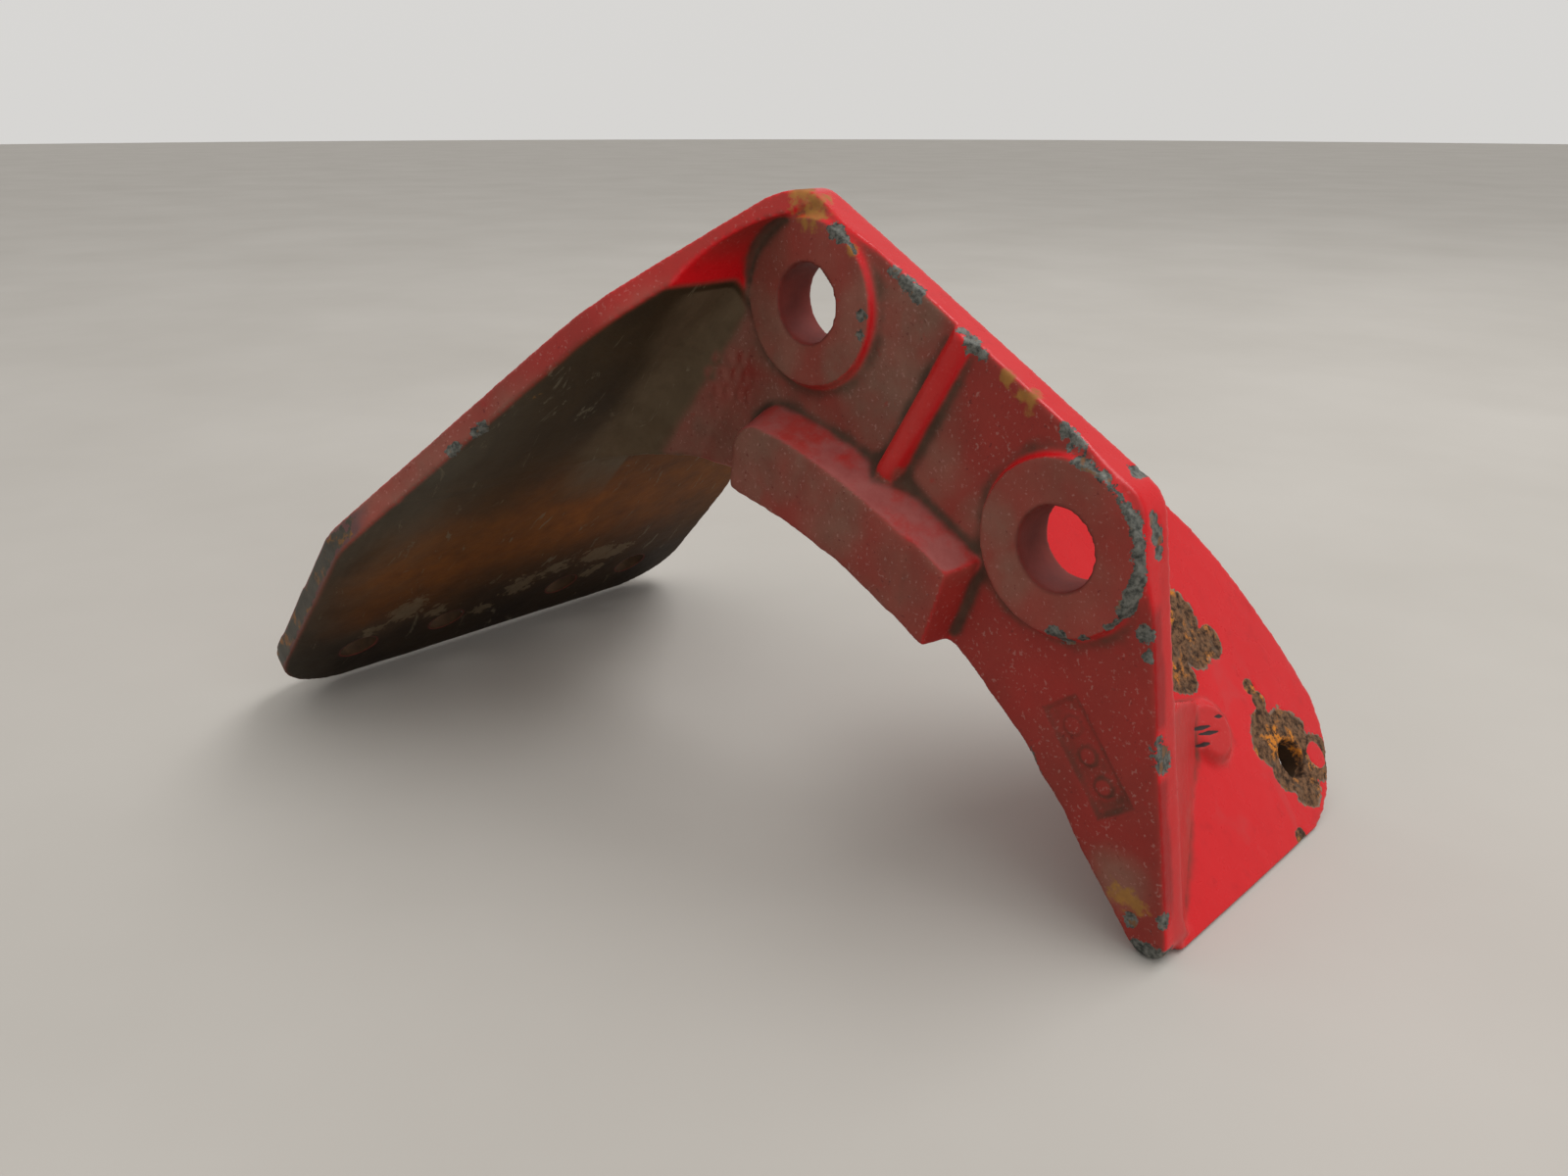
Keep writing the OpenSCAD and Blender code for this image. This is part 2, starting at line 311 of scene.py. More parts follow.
# Yellow-brown rust stains as x, y, z and radius
STAINS = [
    (0.5, 3.0, 20.5, 6.0),
    (-4.0, 3.0, 23.0, 4.0),
    (13.0, 0.8, 12.6, 2.6),
    (57.0, 3.0, -11.8, 3.6),
    (53.5, 3.0, -9.0, 2.4),
    (-19.0, -7.0, -46.5, 2.0),
    (97.8, 6.0, -80.5, 2.4),
    (92.0, 4.0, -112.0, 5.0),
    (-8.0, 5.0, 24.5, 3.0),
    (-46.0, -42.0, -17.0, 4.0),
]
# Greyer, dustier areas of the front as x, z and radius
GREY_DUST = [
    (-55.0, -48.0, 26.0),
    (-32.0, -40.0, 20.0),
    (-14.0, -44.0, 13.0),
    (-8.0, -52.0, 10.0),
    (24.0, -20.0, 16.0),
    (34.0, -33.0, 12.0),
    (30.0, 2.0, 10.0),
    (48.0, -42.0, 9.0),
    (-3.0, -35.0, 14.0),
    (-13.0, -30.0, 13.0),
    (16.0, -43.0, 14.0),
    (-11.0, -10.0, 12.0),
    (-18.0, -4.0, 9.0),
    (60.0, -48.0, 9.0),
    (55.0, -39.0, 8.0),
    (21.0, -3.0, 12.0),
    (15.0, -13.0, 11.0),
    (-41.0, -33.0, 16.0),
    (90.0, -108.0, 8.0),
]
# Pale worn patches on the flange's inner face as up, y and radius
PALE_PATCHES = [
    (31.0, -5.0, 8.0),
    (37.0, 8.0, 8.0),
    (40.0, 22.0, 9.0),
    (35.0, 33.0, 6.0),
    (24.0, 27.0, 5.0),
    (38.0, -46.0, 8.0),
    (30.0, -56.0, 6.0),
    (30.0, -33.0, 5.0),
    (21.0, -15.0, 5.0),
]
# Grinding strokes on the gate stub and buttress, from back and up the wing to back and up
STROKES = [
    (46.0, 37.6, 54.0, 35.8),
    (48.5, 35.6, 55.5, 33.8),
    (46.5, 33.6, 50.5, 32.6),
    (57.0, 37.0, 60.0, 36.2),
]


# ---------------------------------------------------------------- wear and painted shade, as soft fields over the surface


def chip_field(s):
    """Above 0 where paint has come off down to grey iron."""
    found = spots(s.p, CHIPS)
    mm_per_degree = 0.32
    for bore, start, end, half in RIM_CHIPS:
        dx, dz = s.p[:, 0] - BORES[bore][0], s.p[:, 2] - BORES[bore][1]
        turn = np.degrees(np.arctan2(dz, dx))
        off = np.hypot(np.hypot(dx, dz) - BOSS_R, s.p[:, 1] - 0.6)
        past = np.maximum(np.maximum(start - turn, turn - end), 0) * mm_per_degree
        gap = 0.45 + 0.55 * noise(s.p, 5.0, 17)
        found = np.maximum(found, 1 - np.hypot(off, past) / half - np.clip(gap, 0, 1) * 0.7)
    wander = 0.62 * layered(s.p * (1, 0.6, 1), 2.7, 11, 4) - 0.02
    rubbed = smoothstep(0.07, 0.16, s.edge) * smoothstep(0.34, 0.62, layered(s.p, 22.0, 21, 4))
    rubbed = rubbed * smoothstep(-0.1, 0.35, layered(s.p, 4.0, 31)) - 0.5
    scattered = 1.5 * layered(s.p * (1, 0.7, 1), 8.0, 35, 4) - 0.72
    scattered = np.where(unseen_side(s) > 0.6, scattered, NOWHERE)
    return np.maximum.reduce([found + wander, rubbed, scattered])


def rust_field(s):
    """Above 0 inside flaking rust: patches on the wing's outer face, and round holes and low down
    on the sides that the camera doesn't see."""
    at = np.stack([s.p[:, 1], s.wing_up], 1)
    wander = 0.34 * layered(s.p, 6.0, 41, 4) + 0.02
    found = spots(at, WING_RUST) + wander
    found = np.minimum(found, -spots(at, RED_ISLAND) - wander)
    on_face = (s.wing_depth < 3.0) & (s.p[:, 1] > WEB_BACK - 0.5)
    rings = 1 - np.abs(s.hole - HOLE_R) / 5.5 + 1.3 * layered(s.p, 8.0, 43, 4) - 0.35
    low = 0.9 - s.up / 12.0 + 1.4 * layered(s.p, 12.0, 45, 4)
    low = np.where(s.out > FLANGE_MIDDLE, low, NOWHERE)
    unseen = np.where(unseen_side(s) > 0.6, np.maximum(rings, low), NOWHERE)
    return np.maximum(np.where(on_face, found, NOWHERE), unseen)


def inside_field(s):
    """1 on the flange's inner face, where most of the paint is gone."""
    facing = smoothstep(0.35, 0.8, s.n @ FLANGE_INWARD)
    near = smoothstep(6.0, 3.0, np.abs(s.out + 2.0)) * smoothstep(206.0, 188.0, s.up)
    near = near * (s.bore > BOSS_R + 1.2)
    blend = corner_field(s) * smoothstep(0.25, 0.7, s.n @ FLANGE_INWARD)
    blend = smoothstep(0.25, 0.75, blend)
    return s.blur(np.maximum(facing * near, blend), 3)


def strip_field(s):
    """1 on the lower part of the flange's edges, where paint has rubbed off."""
    edge_face = smoothstep(0.35, 0.1, np.abs(s.n @ FLANGE_INWARD))
    on_flange = (s.out > -1.0) & (s.up < 140.0) & (s.p[:, 0] < -30.0)
    reach = 92.0 + 12.0 * layered(s.p, 12.0, 61)
    return s.blur(edge_face * on_flange * smoothstep(14.0, -14.0, s.up - reach), 2)


def rib_field(s):
    """1 on the cross rib's rounded crest."""
    near = smoothstep(4.6, 2.6, np.abs(s.p @ ALONG_BORES - RIB_AT))
    return near * smoothstep(2.9, 2.2, s.p[:, 1]) * (s.p @ SQUARE_UP > -17.5)


def film_field(s):
    """Dust and road film, thick on faces that look forward, with painted shade on faces that look down.
    """
    front = smoothstep(0.42, 0.85, -s.n[:, 1]) * (1 - 0.75 * rib_field(s))
    buttress = (s.wing_depth < -0.6) & (s.p[:, 1] > WEB_BACK - 0.5) & (s.wing_up < 47.0)
    buttress = 0.36 * s.blur(buttress * smoothstep(0.3, 0.7, s.n[:, 0]), 4)
    side = 0.18 * smoothstep(0.8, 0.95, s.n[:, 0]) * smoothstep(5.5, 7.5, s.p[:, 1])
    side = side * (s.p[:, 1] < 12) * (s.p[:, 2] < -35)
    back = 0.45 * smoothstep(0.5, 0.95, s.n[:, 1])
    # Faces that look down get a thick coat too: film with painted shade on undersides such as the rib's
    # lower side
    under = 0.7 * smoothstep(0.3, 0.8, -s.n[:, 2])
    pad_end = 0.85 * pad_sides(s) * smoothstep(0.4, 0.8, s.n[:, 0]) * (s.n[:, 2] < 0.35)
    pad_end = s.blur(pad_end, 3)
    unseen = 0.75 * unseen_side(s) * smoothstep(-0.25, 0.4, layered(s.p, 34.0, 73, 4))
    parts = [front, buttress, side, back, under, pad_end, 0.42 * ledge_field(s), unseen]
    patchy = 0.9 + 0.22 * layered(s.p, 18.0, 71, 4)
    return np.clip(np.maximum.reduce(parts) * patchy, 0, 1)


def pad_sides(s):
    """1 on the saddle pad's drafted sides."""
    by_pad = (arch_distance(s.p) < 26.0) * (s.bore > BOSS_R + 1.5)
    by_pad = by_pad * smoothstep(3.0, 2.2, s.p[:, 1])
    return by_pad * (s.p[:, 0] < 62.0) * (s.p[:, 0] > -28.0)


def ledge_field(s):
    """1 on the saddle pad's upper side."""
    return s.blur(pad_sides(s) * smoothstep(0.3, 0.8, s.n[:, 2]), 3)


def unseen_side(s):
    """1 on the flange's outer face, the wing's inner face and everything that looks back."""
    outer = smoothstep(0.8, 0.95, s.n @ -FLANGE_INWARD) * (s.out > FLANGE_MIDDLE)
    inner = smoothstep(0.8, 0.95, s.n @ WING_INWARD)
    inner = inner * (s.wing_depth > 3.0) * (s.p[:, 1] > WEB_BACK)
    back = smoothstep(0.7, 0.9, s.n[:, 1])
    return np.maximum.reduce([outer, inner, back])


def side_shade_field(s):
    """1 on two stretches of the side face's front corner, where the red is darkened as painted shade.
    """
    strip = smoothstep(7.4, 5.8, s.p[:, 1] + 1.2 * layered(s.p, 9.0, 77))
    strip = strip * smoothstep(0.45, 0.8, s.n[:, 0])
    high = smoothstep(-46.0, -50.0, s.p[:, 2]) * smoothstep(-73.5, -71.0, s.p[:, 2])
    low = smoothstep(-82.0, -84.0, s.p[:, 2]) * smoothstep(-117.0, -108.0, s.p[:, 2])
    return strip * (high + low) * (s.p[:, 0] > 80.0) * (s.p[:, 1] < WEB_BACK)


def grey_field(s):
    """1 where the dust on the front is grey: named places, the arch's rim and worked faces."""
    at = np.stack([s.p[:, 0], s.p[:, 2]], 1)
    found = smoothstep(-0.35, 0.6, spots(at, GREY_DUST) + 0.35 * layered(s.p, 14.0, 81, 4))
    rim = smoothstep(9.0, 2.0, arch_distance(s.p)) * smoothstep(-12.0, -24.0, s.p[:, 0])
    worked = (np.abs(s.p[:, 1]) < 0.8) | (np.abs(s.p[:, 1] - PAD_FACE_Y) < 1.2)
    worked = worked * (s.n[:, 1] < -0.8) * (0.42 + 0.3 * layered(s.p, 11.0, 85, 4))
    return np.clip(np.maximum.reduce([found, rim, worked, 0.9 * corner_field(s)]), 0, 1)


def corner_field(s):
    """1 on the wide blend from the web's front to the flange."""
    sloping = smoothstep(0.03, 0.12, s.n @ FLANGE_INWARD)
    near = smoothstep(-40.0, -14.0, s.out) * (s.p[:, 1] < WEB_FRONT + 0.5) * (s.up < 190)
    beside = smoothstep(-26.0, -4.0, s.p[:, 1] + 5.0 * layered(s.p, 14.0, 87))
    beside = beside * smoothstep(70.0, 110.0, s.up)
    beside = np.maximum(beside, smoothstep(-1.0, -3.5, s.out))
    return s.blur(sloping * near * beside * (s.bore > BOSS_R + 2.5) * (s.p[:, 0] < 0), 4)


def haze_field(s):
    """Orange-brown rust haze across the middle of the flange's inner face."""
    middle = 74.0 + 0.25 * s.p[:, 1] + 14.0 * layered(s.p, 30.0, 91)
    width = 30.0 + 12.0 * smoothstep(-30.0, 30.0, s.p[:, 1])
    band = np.exp(-(((s.up - middle) / width) ** 2))
    return band * smoothstep(-88.0, -50.0, s.p[:, 1]) * (0.85 + 0.3 * layered(s.p, 12.0, 95))


def pale_field(s):
    """Above 0 inside the pale worn patches on the flange's inner face."""
    at = np.stack([s.up, s.p[:, 1]], 1)
    return spots(at, PALE_PATCHES) - 0.25 + 0.8 * layered(s.p * (1, 0.6, 1), 7.0, 101, 4)


def gouge_field(s):
    """Short dark grinding strokes across the gate stub and the buttress beside it."""
    back, up = s.p[:, 1], s.wing_up
    best = np.full(len(s.p), 9.0)
    for from_back, from_up, to_back, to_up in STROKES:
        run, rise = to_back - from_back, to_up - from_up
        t = ((back - from_back) * run + (up - from_up) * rise) / (run * run + rise * rise)
        t = np.clip(t, 0, 1)
        width = 0.14 + 0.26 * (1 - np.abs(2 * t - 1))
        away = np.hypot(back - from_back - t * run, up - from_up - t * rise)
        best = np.minimum(best, away / width)
    return np.where((s.wing_depth < 4) & (best < 4), 1 - best / 1.9, NOWHERE)


def hole_wall_field(s):
    """Up to 1 in the bolt bores, and up to 1.6 in the small holes."""
    bores = smoothstep(BORE_R + 0.9, BORE_R + 0.2, s.bore)
    return np.maximum(bores, 1.6 * smoothstep(HOLE_R + 1.0, HOLE_R + 0.2, s.hole))


# ---------------------------------------------------------------- building the casting


def place_surface(s):
    """Works out where each point lies on the casting's main features."""
    s.bore = bore_distance(s.p)
    s.up, s.out = flange_frame(s.p)
    s.wing_up, s.wing_depth = wing_frame(s.p)
    s.hole = small_hole_distance(s)


def cast_marks(s):
    """Rows of small plain raised pips on the web between the flange and the upper boss."""
    height = np.zeros(len(s.p))
    on_front = (np.abs(s.p[:, 1] - WEB_FRONT) < 2.5) & (s.n[:, 1] < -0.6)
    for row in range(3):
        for k in range(4 + row % 2):
            x, z = -35.0 + 3.6 * k + 0.8 * row, -16.0 - 4.6 * row
            away = np.maximum(np.abs(s.p[:, 0] - x) / 0.8, np.abs(s.p[:, 2] - z) / 1.4)
            height = np.maximum(height, smoothstep(1.25, 0.7, away))
    return 0.32 * height * on_front


def panel_rim(s):
    """1 along the border and round the pips of the plain panel on the leg."""
    dx, dz = s.p[:, 0] - PANEL[0], s.p[:, 2] - PANEL[1]
    u = dx * math.cos(PANEL_TURN) - dz * math.sin(PANEL_TURN)
    v = dx * math.sin(PANEL_TURN) + dz * math.cos(PANEL_TURN)
    inside = np.minimum(PANEL_HALF[0] - np.abs(u), PANEL_HALF[1] - np.abs(v))
    pips = np.min([np.hypot(u - PIP_PITCH * k, v) for k in (-1, 0, 1)], axis=0)
    border = smoothstep(1.5, 0.3, np.abs(inside - 0.2))
    rim = np.maximum(border, smoothstep(1.1, 0.2, np.abs(pips - PIP_R)))
    return rim * (inside > -1.0) * (s.p[:, 1] < WEB_FRONT + 2.0)


def shape_casting(s):
    """Softens edges and corners, gives unmachined faces a cast skin and returns the machined mask."""
    place_surface(s)
    machined = machined_mask(s)
    free = 1 - s.blur(machined, 1)
    s.p = s.blur(s.p, 2, 0.5)
    s.read_normals()
    in_holes = (s.bore < BORE_R + 0.6) | (s.hole < HOLE_R + 0.6)
    s.ease(34, 0.055, 0.035, free * ~in_holes)
    wave = 0.15 * layered(s.p, 26.0, 1, 2) + 0.05 * layered(s.p, 4.5, 5, 3)
    ragged = 0.45 * layered(s.p * (1, 0.35, 1), 9.0, 9, 3)
    ragged = ragged * smoothstep(1.2, 0.4, np.abs(arch_distance(s.p)))
    ragged = ragged * (s.p[:, 1] < WEB_BACK + 0.5)
    scaly = 0.14 * layered(s.p, 7.0, 13, 4) * (s.up < 190) * smoothstep(1.0, 0.4, np.abs(s.out))
    s.push(free * (wave + cast_marks(s)) + ragged + free * scaly)
    return machined


def store_wear_and_shade(s, machined):
    """Works out the wear and the painted shade, lets rust and chips shape the surface and stores the
    fields.
    """
    place_surface(s)
    s.edge = s.blur(s.bend(6), 1)
    # hollow: concave corners, plus the panel's border and pips, which the material darkens as painted
    # shade (with packed muck in the corners)
    hollow = np.maximum(s.blur(-s.bend(30), 3), 0.34 * panel_rim(s))
    chip, rust, gouge = chip_field(s), rust_field(s), gouge_field(s)
    flake = smoothstep(0.0, 0.08, rust)
    scale = 0.24 * layered(s.p, 3.2, 51, 3) + 0.14 * layered(s.p, 1.5, 55, 2)
    cut = 0.16 * smoothstep(0.0, 0.15, chip) + 0.3 * smoothstep(0.0, 0.6, gouge)
    s.push(flake * (scale - 0.16) - cut)
    fields = {
        "hollow": hollow,
        "chip": chip,
        "rust": rust,
        "gouge": gouge,
        "machined": machined,
        "stain": spots(s.p, STAINS) + 0.7 * layered(s.p, 4.0, 111, 4),
        "inside": inside_field(s),
        "strip": strip_field(s),
        "film": film_field(s),
        "ledge": ledge_field(s),
        "grey": grey_field(s),
        "corner": corner_field(s),
        "deep": side_shade_field(s),
        "haze": haze_field(s),
        "pale": pale_field(s),
        "hole_wall": hole_wall_field(s),
    }
    for name, values in fields.items():
        s.store(name, values)


def build_casting():
    """The visible casting, from the CAD node's shape."""
    s = Surface(remeshed_copy("bracket_casting", VOXEL))
    machined = shape_casting(s)
    store_wear_and_shade(s, machined)
    s.mesh.polygons.foreach_set("use_smooth", [True] * len(s.mesh.polygons))
    s.mesh.materials.clear()
    ob = bpy.data.objects.new("bracket_casting_body", s.mesh)
    bpy.context.scene.collection.objects.link(ob)
    return ob


# ---------------------------------------------------------------- material


class Nodes:
    """Short helpers for building one material's node tree."""

    def __init__(self, name):
        self.material = bpy.data.materials.new(name)
        self.material.use_nodes = True
        self.tree = self.material.node_tree
        self.tree.nodes.clear()
        self.place = self.add("ShaderNodeTexCoord").outputs["Object"]
        self.colour = self.rough = self.metal = None

    def add(self, kind, **settings):
        node = self.tree.nodes.new(kind)
        for key, value in settings.items():
            setattr(node, key, value)
        return node

    def feed(self, socket, value):
        """Links a socket to another one, or sets it to a plain value."""
        if isinstance(value, bpy.types.NodeSocket):
            self.tree.links.new(value, socket)
        elif isinstance(value, tuple) and socket.type == "RGBA":
            socket.default_value = (*value, 1.0)
        else:
            socket.default_value = value

    def math(self, operation, a, b):
        node = self.add("ShaderNodeMath", operation=operation)
        self.feed(node.inputs[0], a)
        self.feed(node.inputs[1], b)
        return node.outputs[0]

    def times(self, a, b):
        return self.math("MULTIPLY", a, b)

    def mix(self, factor, a, b):
        node = self.add("ShaderNodeMix", data_type="RGBA")
        self.feed(node.inputs[0], factor)
        self.feed(node.inputs[6], a)
        self.feed(node.inputs[7], b)
        return node.outputs[2]

    def mix_value(self, factor, a, b):
        node = self.add("ShaderNodeMix", data_type="FLOAT")
        self.feed(node.inputs[0], factor)
        self.feed(node.inputs[2], a)
        self.feed(node.inputs[3], b)
        return node.outputs[0]

    def ramp(self, value, lo, hi, out_lo=0.0, out_hi=1.0):
        """A smooth rise from out_lo to out_hi, while value goes from lo to hi."""
        node = self.add("ShaderNodeMapRange", interpolation_type="SMOOTHSTEP")
        for socket, x in zip(node.inputs, (value, lo, hi, out_lo, out_hi)):
            self.feed(socket, x)
        return node.outputs[0]

    def attribute(self, name):
        return self.add("ShaderNodeAttribute", attribute_name=name).outputs["Fac"]

    def noise(self, size_mm, detail=4.0, rough=0.55, warp=0.0, stretch=None):
        """Noise with features about size_mm wide, finer along an axis where stretch is larger."""
        node = self.add("ShaderNodeTexNoise", noise_dimensions="3D")
        vector = self.place
        if stretch:
            scaled = self.add("ShaderNodeVectorMath", operation="MULTIPLY")
            self.feed(scaled.inputs[0], self.place)
            scaled.inputs[1].default_value = stretch
            vector = scaled.outputs[0]
        self.feed(node.inputs["Vector"], vector)
        values = {"Detail": detail, "Roughness": rough, "Distortion": warp}
        values["Scale"] = 1 / (size_mm * MM)
        for name, x in values.items():
            node.inputs[name].default_value = x
        return node.outputs["Fac"]

    def crisp(self, field, size_mm=1.4, reach=0.10, edge=0.035):
        """A sharp, ragged mask where a soft field passes 0."""
        ragged = self.ramp(self.noise(size_mm, 5, 0.65), 0.3, 0.7, -reach, reach)
        return self.ramp(self.math("ADD", field, ragged), 0.0, edge)

    def lay(self, mask, colour, rough, metal=0.0):
        """Puts a coat over what is there, where mask is 1."""
        self.colour = self.mix(mask, self.colour, colour)
        self.rough = self.mix_value(mask, self.rough, rough)
        self.metal = self.mix_value(mask, self.metal, metal)

    def finish(self, height=None):
        """Builds the shader from the coats laid so far, with bumps from height."""
        shader = self.add("ShaderNodeBsdfPrincipled")
        shader.inputs["Specular IOR Level"].default_value = 0.22
        self.feed(shader.inputs["Base Color"], self.colour)
        self.feed(shader.inputs["Roughness"], self.rough)
        self.feed(shader.inputs["Metallic"], self.metal)
        if height is not None:
            bump = self.add("ShaderNodeBump")
            bump.inputs["Strength"].default_value = 0.6
            bump.inputs["Distance"].default_value = 0.12 * MM
            self.feed(bump.inputs["Height"], height)
            self.feed(shader.inputs["Normal"], bump.outputs["Normal"])
        out = self.add("ShaderNodeOutputMaterial")
        self.feed(out.inputs["Surface"], shader.outputs["BSDF"])
        return self.material


def red_enamel(k):
    """Glossy red enamel with darker mottling and scuffs, and painted shade on two stretches of the side
    face's front corner.
    """
    k.colour = k.mix(k.noise(28, 3), (0.50, 0.005, 0.008), (0.58, 0.008, 0.012))
    mottled = k.ramp(k.noise(5, 4), 0.55, 0.75, 0.0, 0.3)
    k.colour = k.mix(mottled, k.colour, (0.34, 0.004, 0.007))
    k.rough = k.ramp(k.noise(9, 4), 0.3, 0.7, 0.20, 0.34)
    k.metal = 0.0
    scuffed = k.ramp(k.noise(16, 6, 0.62, 0.5, (1, 1, 0.6)), 0.56, 0.70, 0.0, 0.32)
    k.lay(scuffed, (0.44, 0.045, 0.046), 0.5)
    # Painted shade: the side face's front corner darkened along two stretches
    k.lay(k.times(k.attribute("deep"), 0.85), (0.26, 0.002, 0.002), 0.24)


def road_film(k):
    """Maroon to grey-brown dust with pale and dark specks."""
    film, grey = k.attribute("film"), k.attribute("grey")
    brick = k.mix(k.noise(15, 5, 0.65), (0.135, 0.019, 0.013), (0.245, 0.040, 0.028))
    dust = k.mix(k.noise(8, 5, 0.65), (0.090, 0.046, 0.029), (0.205, 0.130, 0.092))
    coat = k.mix(k.times(grey, k.ramp(k.noise(10, 5, 0.6), 0.25, 0.6, 0.6, 1.0)), brick, dust)
    worn_through = k.ramp(k.noise(6, 6, 0.7), 0.62, 0.74, 0.0, 0.5)
    coat = k.mix(worn_through, coat, (0.26, 0.016, 0.014))
    coat = k.mix(k.ramp(k.noise(0.9, 2), 0.60, 0.72, 0.0, 0.5), coat, (0.33, 0.20, 0.17))
    coat = k.mix(k.ramp(k.noise(1.1, 3, 0.6, 0.3), 0.64, 0.72, 0.0, 0.7), coat, (0.05, 0.018, 0.015))
    k.lay(k.times(film, 0.94), coat, 0.62)


def ledge_dust(k):
    """Pinkish dust settled on the saddle pad's upper side."""
    settled = k.ramp(k.attribute("ledge"), 0.3, 0.9)
    settled = k.times(settled, k.ramp(k.noise(11, 5, 0.65), 0.35, 0.6, 0.1, 0.8))
    k.lay(settled, k.mix(k.noise(5, 5, 0.65), (0.220, 0.046, 0.042), (0.420, 0.150, 0.135)), 0.55)


def pale_specks(k):
    """Pale specks of grit in the road film."""
    specks = k.ramp(k.noise(2.6, 3, 0.45), 0.775, 0.790)
    k.lay(k.times(specks, k.attribute("film")), (0.34, 0.26, 0.22), 0.6)


def corner_muck_and_shade(k):
    """Darker brown in inner corners and round the panel's border and pips: packed muck with painted
    shade in the corners, painted shade alone on the panel.
    """
    spread = k.ramp(k.noise(10, 4), 0.3, 0.7, -0.10, 0.10)
    muck_and_shade = k.ramp(k.math("ADD", k.attribute("hollow"), spread), 0.10, 0.52, 0.0, 0.9)
    k.lay(muck_and_shade, k.mix(k.noise(4, 4), (0.026, 0.014, 0.009), (0.075, 0.052, 0.032)), 0.85)


def flange_inside(k):
    """Brown iron, greyer forward and by the web, with rust haze and pale worn patches; its colours are
    kept dark as painted shade, with a painted shadow going near black towards the bottom.
    """
    split = k.add("ShaderNodeSeparateXYZ")
    k.feed(split.inputs[0], k.place)
    low = k.ramp(split.outputs["Z"], -0.070, -0.116)
    streaks = k.noise(16, 6, 0.65, 0.6, (0.5, 1.2, 0.5))
    # Very dark browns: the iron's colour with painted shade
    base = k.mix(streaks, (0.010, 0.005, 0.001), (0.055, 0.031, 0.009))
    forward = k.ramp(split.outputs["Y"], -0.030, -0.066)
    forward = k.times(forward, k.ramp(k.noise(24, 4), 0.3, 0.6, 0.3, 0.9))
    base = k.mix(forward, base, k.mix(streaks, (0.030, 0.025, 0.016), (0.105, 0.092, 0.066)))
    rusty = k.mix(k.noise(7, 5, 0.7), (0.055, 0.013, 0.001), (0.280, 0.085, 0.006))
    hazy = k.times(k.attribute("haze"), k.ramp(k.noise(20, 5, 0.6), 0.25, 0.45, 0.75, 1.0))
    base = k.mix(hazy, base, rusty)
    # Painted shadow: near black low on the inner face, towards the floor
    low_painted_shadow = k.times(low, k.ramp(k.noise(18, 5), 0.25, 0.6, 0.95, 0.6))
    base = k.mix(low_painted_shadow, base, (0.013, 0.006, 0.002))
    near_web = k.ramp(k.attribute("corner"), 0.1, 0.9)
    near_web = k.times(near_web, k.ramp(k.noise(12, 5, 0.6), 0.25, 0.6, 0.6, 1.0))
    base = k.mix(near_web, base, k.mix(streaks, (0.050, 0.032, 0.014), (0.150, 0.105, 0.062)))
    scraped = k.ramp(k.noise(7, 6, 0.7, 0.8, (0.4, 1.3, 0.4)), 0.60, 0.66, 0.0, 0.55)
    base = k.mix(scraped, base, (0.15, 0.125, 0.080))
    pale = k.crisp(k.attribute("pale"), 2.6, 0.45, 0.22)
    worn = k.mix(k.noise(3, 5, 0.7), (0.080, 0.055, 0.026), (0.270, 0.205, 0.125))
    base = k.mix(k.times(pale, 0.5), base, worn)
    k.lay(k.attribute("inside"), base, 0.72)


def stripped_edges(k):
    """Flange edges: paint dulled to purple-grey, then bare iron with orange stains."""
    strip = k.attribute("strip")
    dulled = k.mix(k.noise(6, 5), (0.075, 0.026, 0.026), (0.17, 0.090, 0.080))
    k.lay(k.ramp(strip, 0.02, 0.4), dulled, 0.6)
    iron = k.mix(k.noise(4, 5, 0.65), (0.020, 0.018, 0.014), (0.100, 0.088, 0.067))
    iron = k.mix(k.ramp(k.noise(7, 5, 0.6), 0.52, 0.64, 0.0, 0.8), iron, (0.27, 0.105, 0.022))
    k.lay(k.crisp(k.math("SUBTRACT", strip, 0.45), 3.0, 0.3, 0.1), iron, 0.55, 0.2)


def hole_walls(k):
    """Darker brown in the bolt bores and near black in the small holes: muck on the walls with painted
    shade.
    """
    bore_muck_and_shade = k.mix(k.noise(5, 5, 0.6), (0.034, 0.014, 0.010), (0.20, 0.036, 0.026))
    k.lay(k.times(k.attribute("hole_wall"), 0.9), bore_muck_and_shade, 0.7)
    # Painted shade: the small holes' walls near black
    small = k.ramp(k.attribute("hole_wall"), 1.05, 1.35)
    k.lay(small, k.mix(k.noise(3, 5), (0.012, 0.008, 0.005), (0.075, 0.036, 0.014)), 0.85)


def rust_stains(k):
    """Soft yellow-brown stains beside chips."""
    stain = k.crisp(k.math("SUBTRACT", k.attribute("stain"), 0.10), 2.4, 0.25, 0.5)
    ochre = k.mix(k.noise(2.5, 5), (0.16, 0.075, 0.022), (0.42, 0.20, 0.035))
    k.lay(k.times(stain, 0.85), ochre, 0.75)


def rust_patches(k):
    """Scaly brown rust with dark pits, orange glints and a pale rim; returns its mask and grain."""
    rust = k.attribute("rust")
    grain = k.noise(1.5, 6, 0.72)
    mask = k.crisp(rust, 1.8, 0.07, 0.02)
    scale = k.mix(k.ramp(grain, 0.36, 0.62), (0.024, 0.011, 0.005), (0.170, 0.086, 0.042))
    scale = k.mix(k.ramp(k.noise(4, 4), 0.52, 0.7, 0.0, 0.45), scale, (0.12, 0.085, 0.060))
    glint = k.times(k.ramp(k.noise(7, 4, 0.6), 0.50, 0.62), k.ramp(grain, 0.44, 0.56))
    scale = k.mix(k.times(glint, 0.9), scale, (0.58, 0.19, 0.012))
    rim = k.times(k.ramp(rust, 0.10, 0.02), mask)
    scale = k.mix(k.times(rim, 0.55), scale, (0.26, 0.19, 0.15))
    k.lay(mask, scale, 0.86)
    return mask, grain


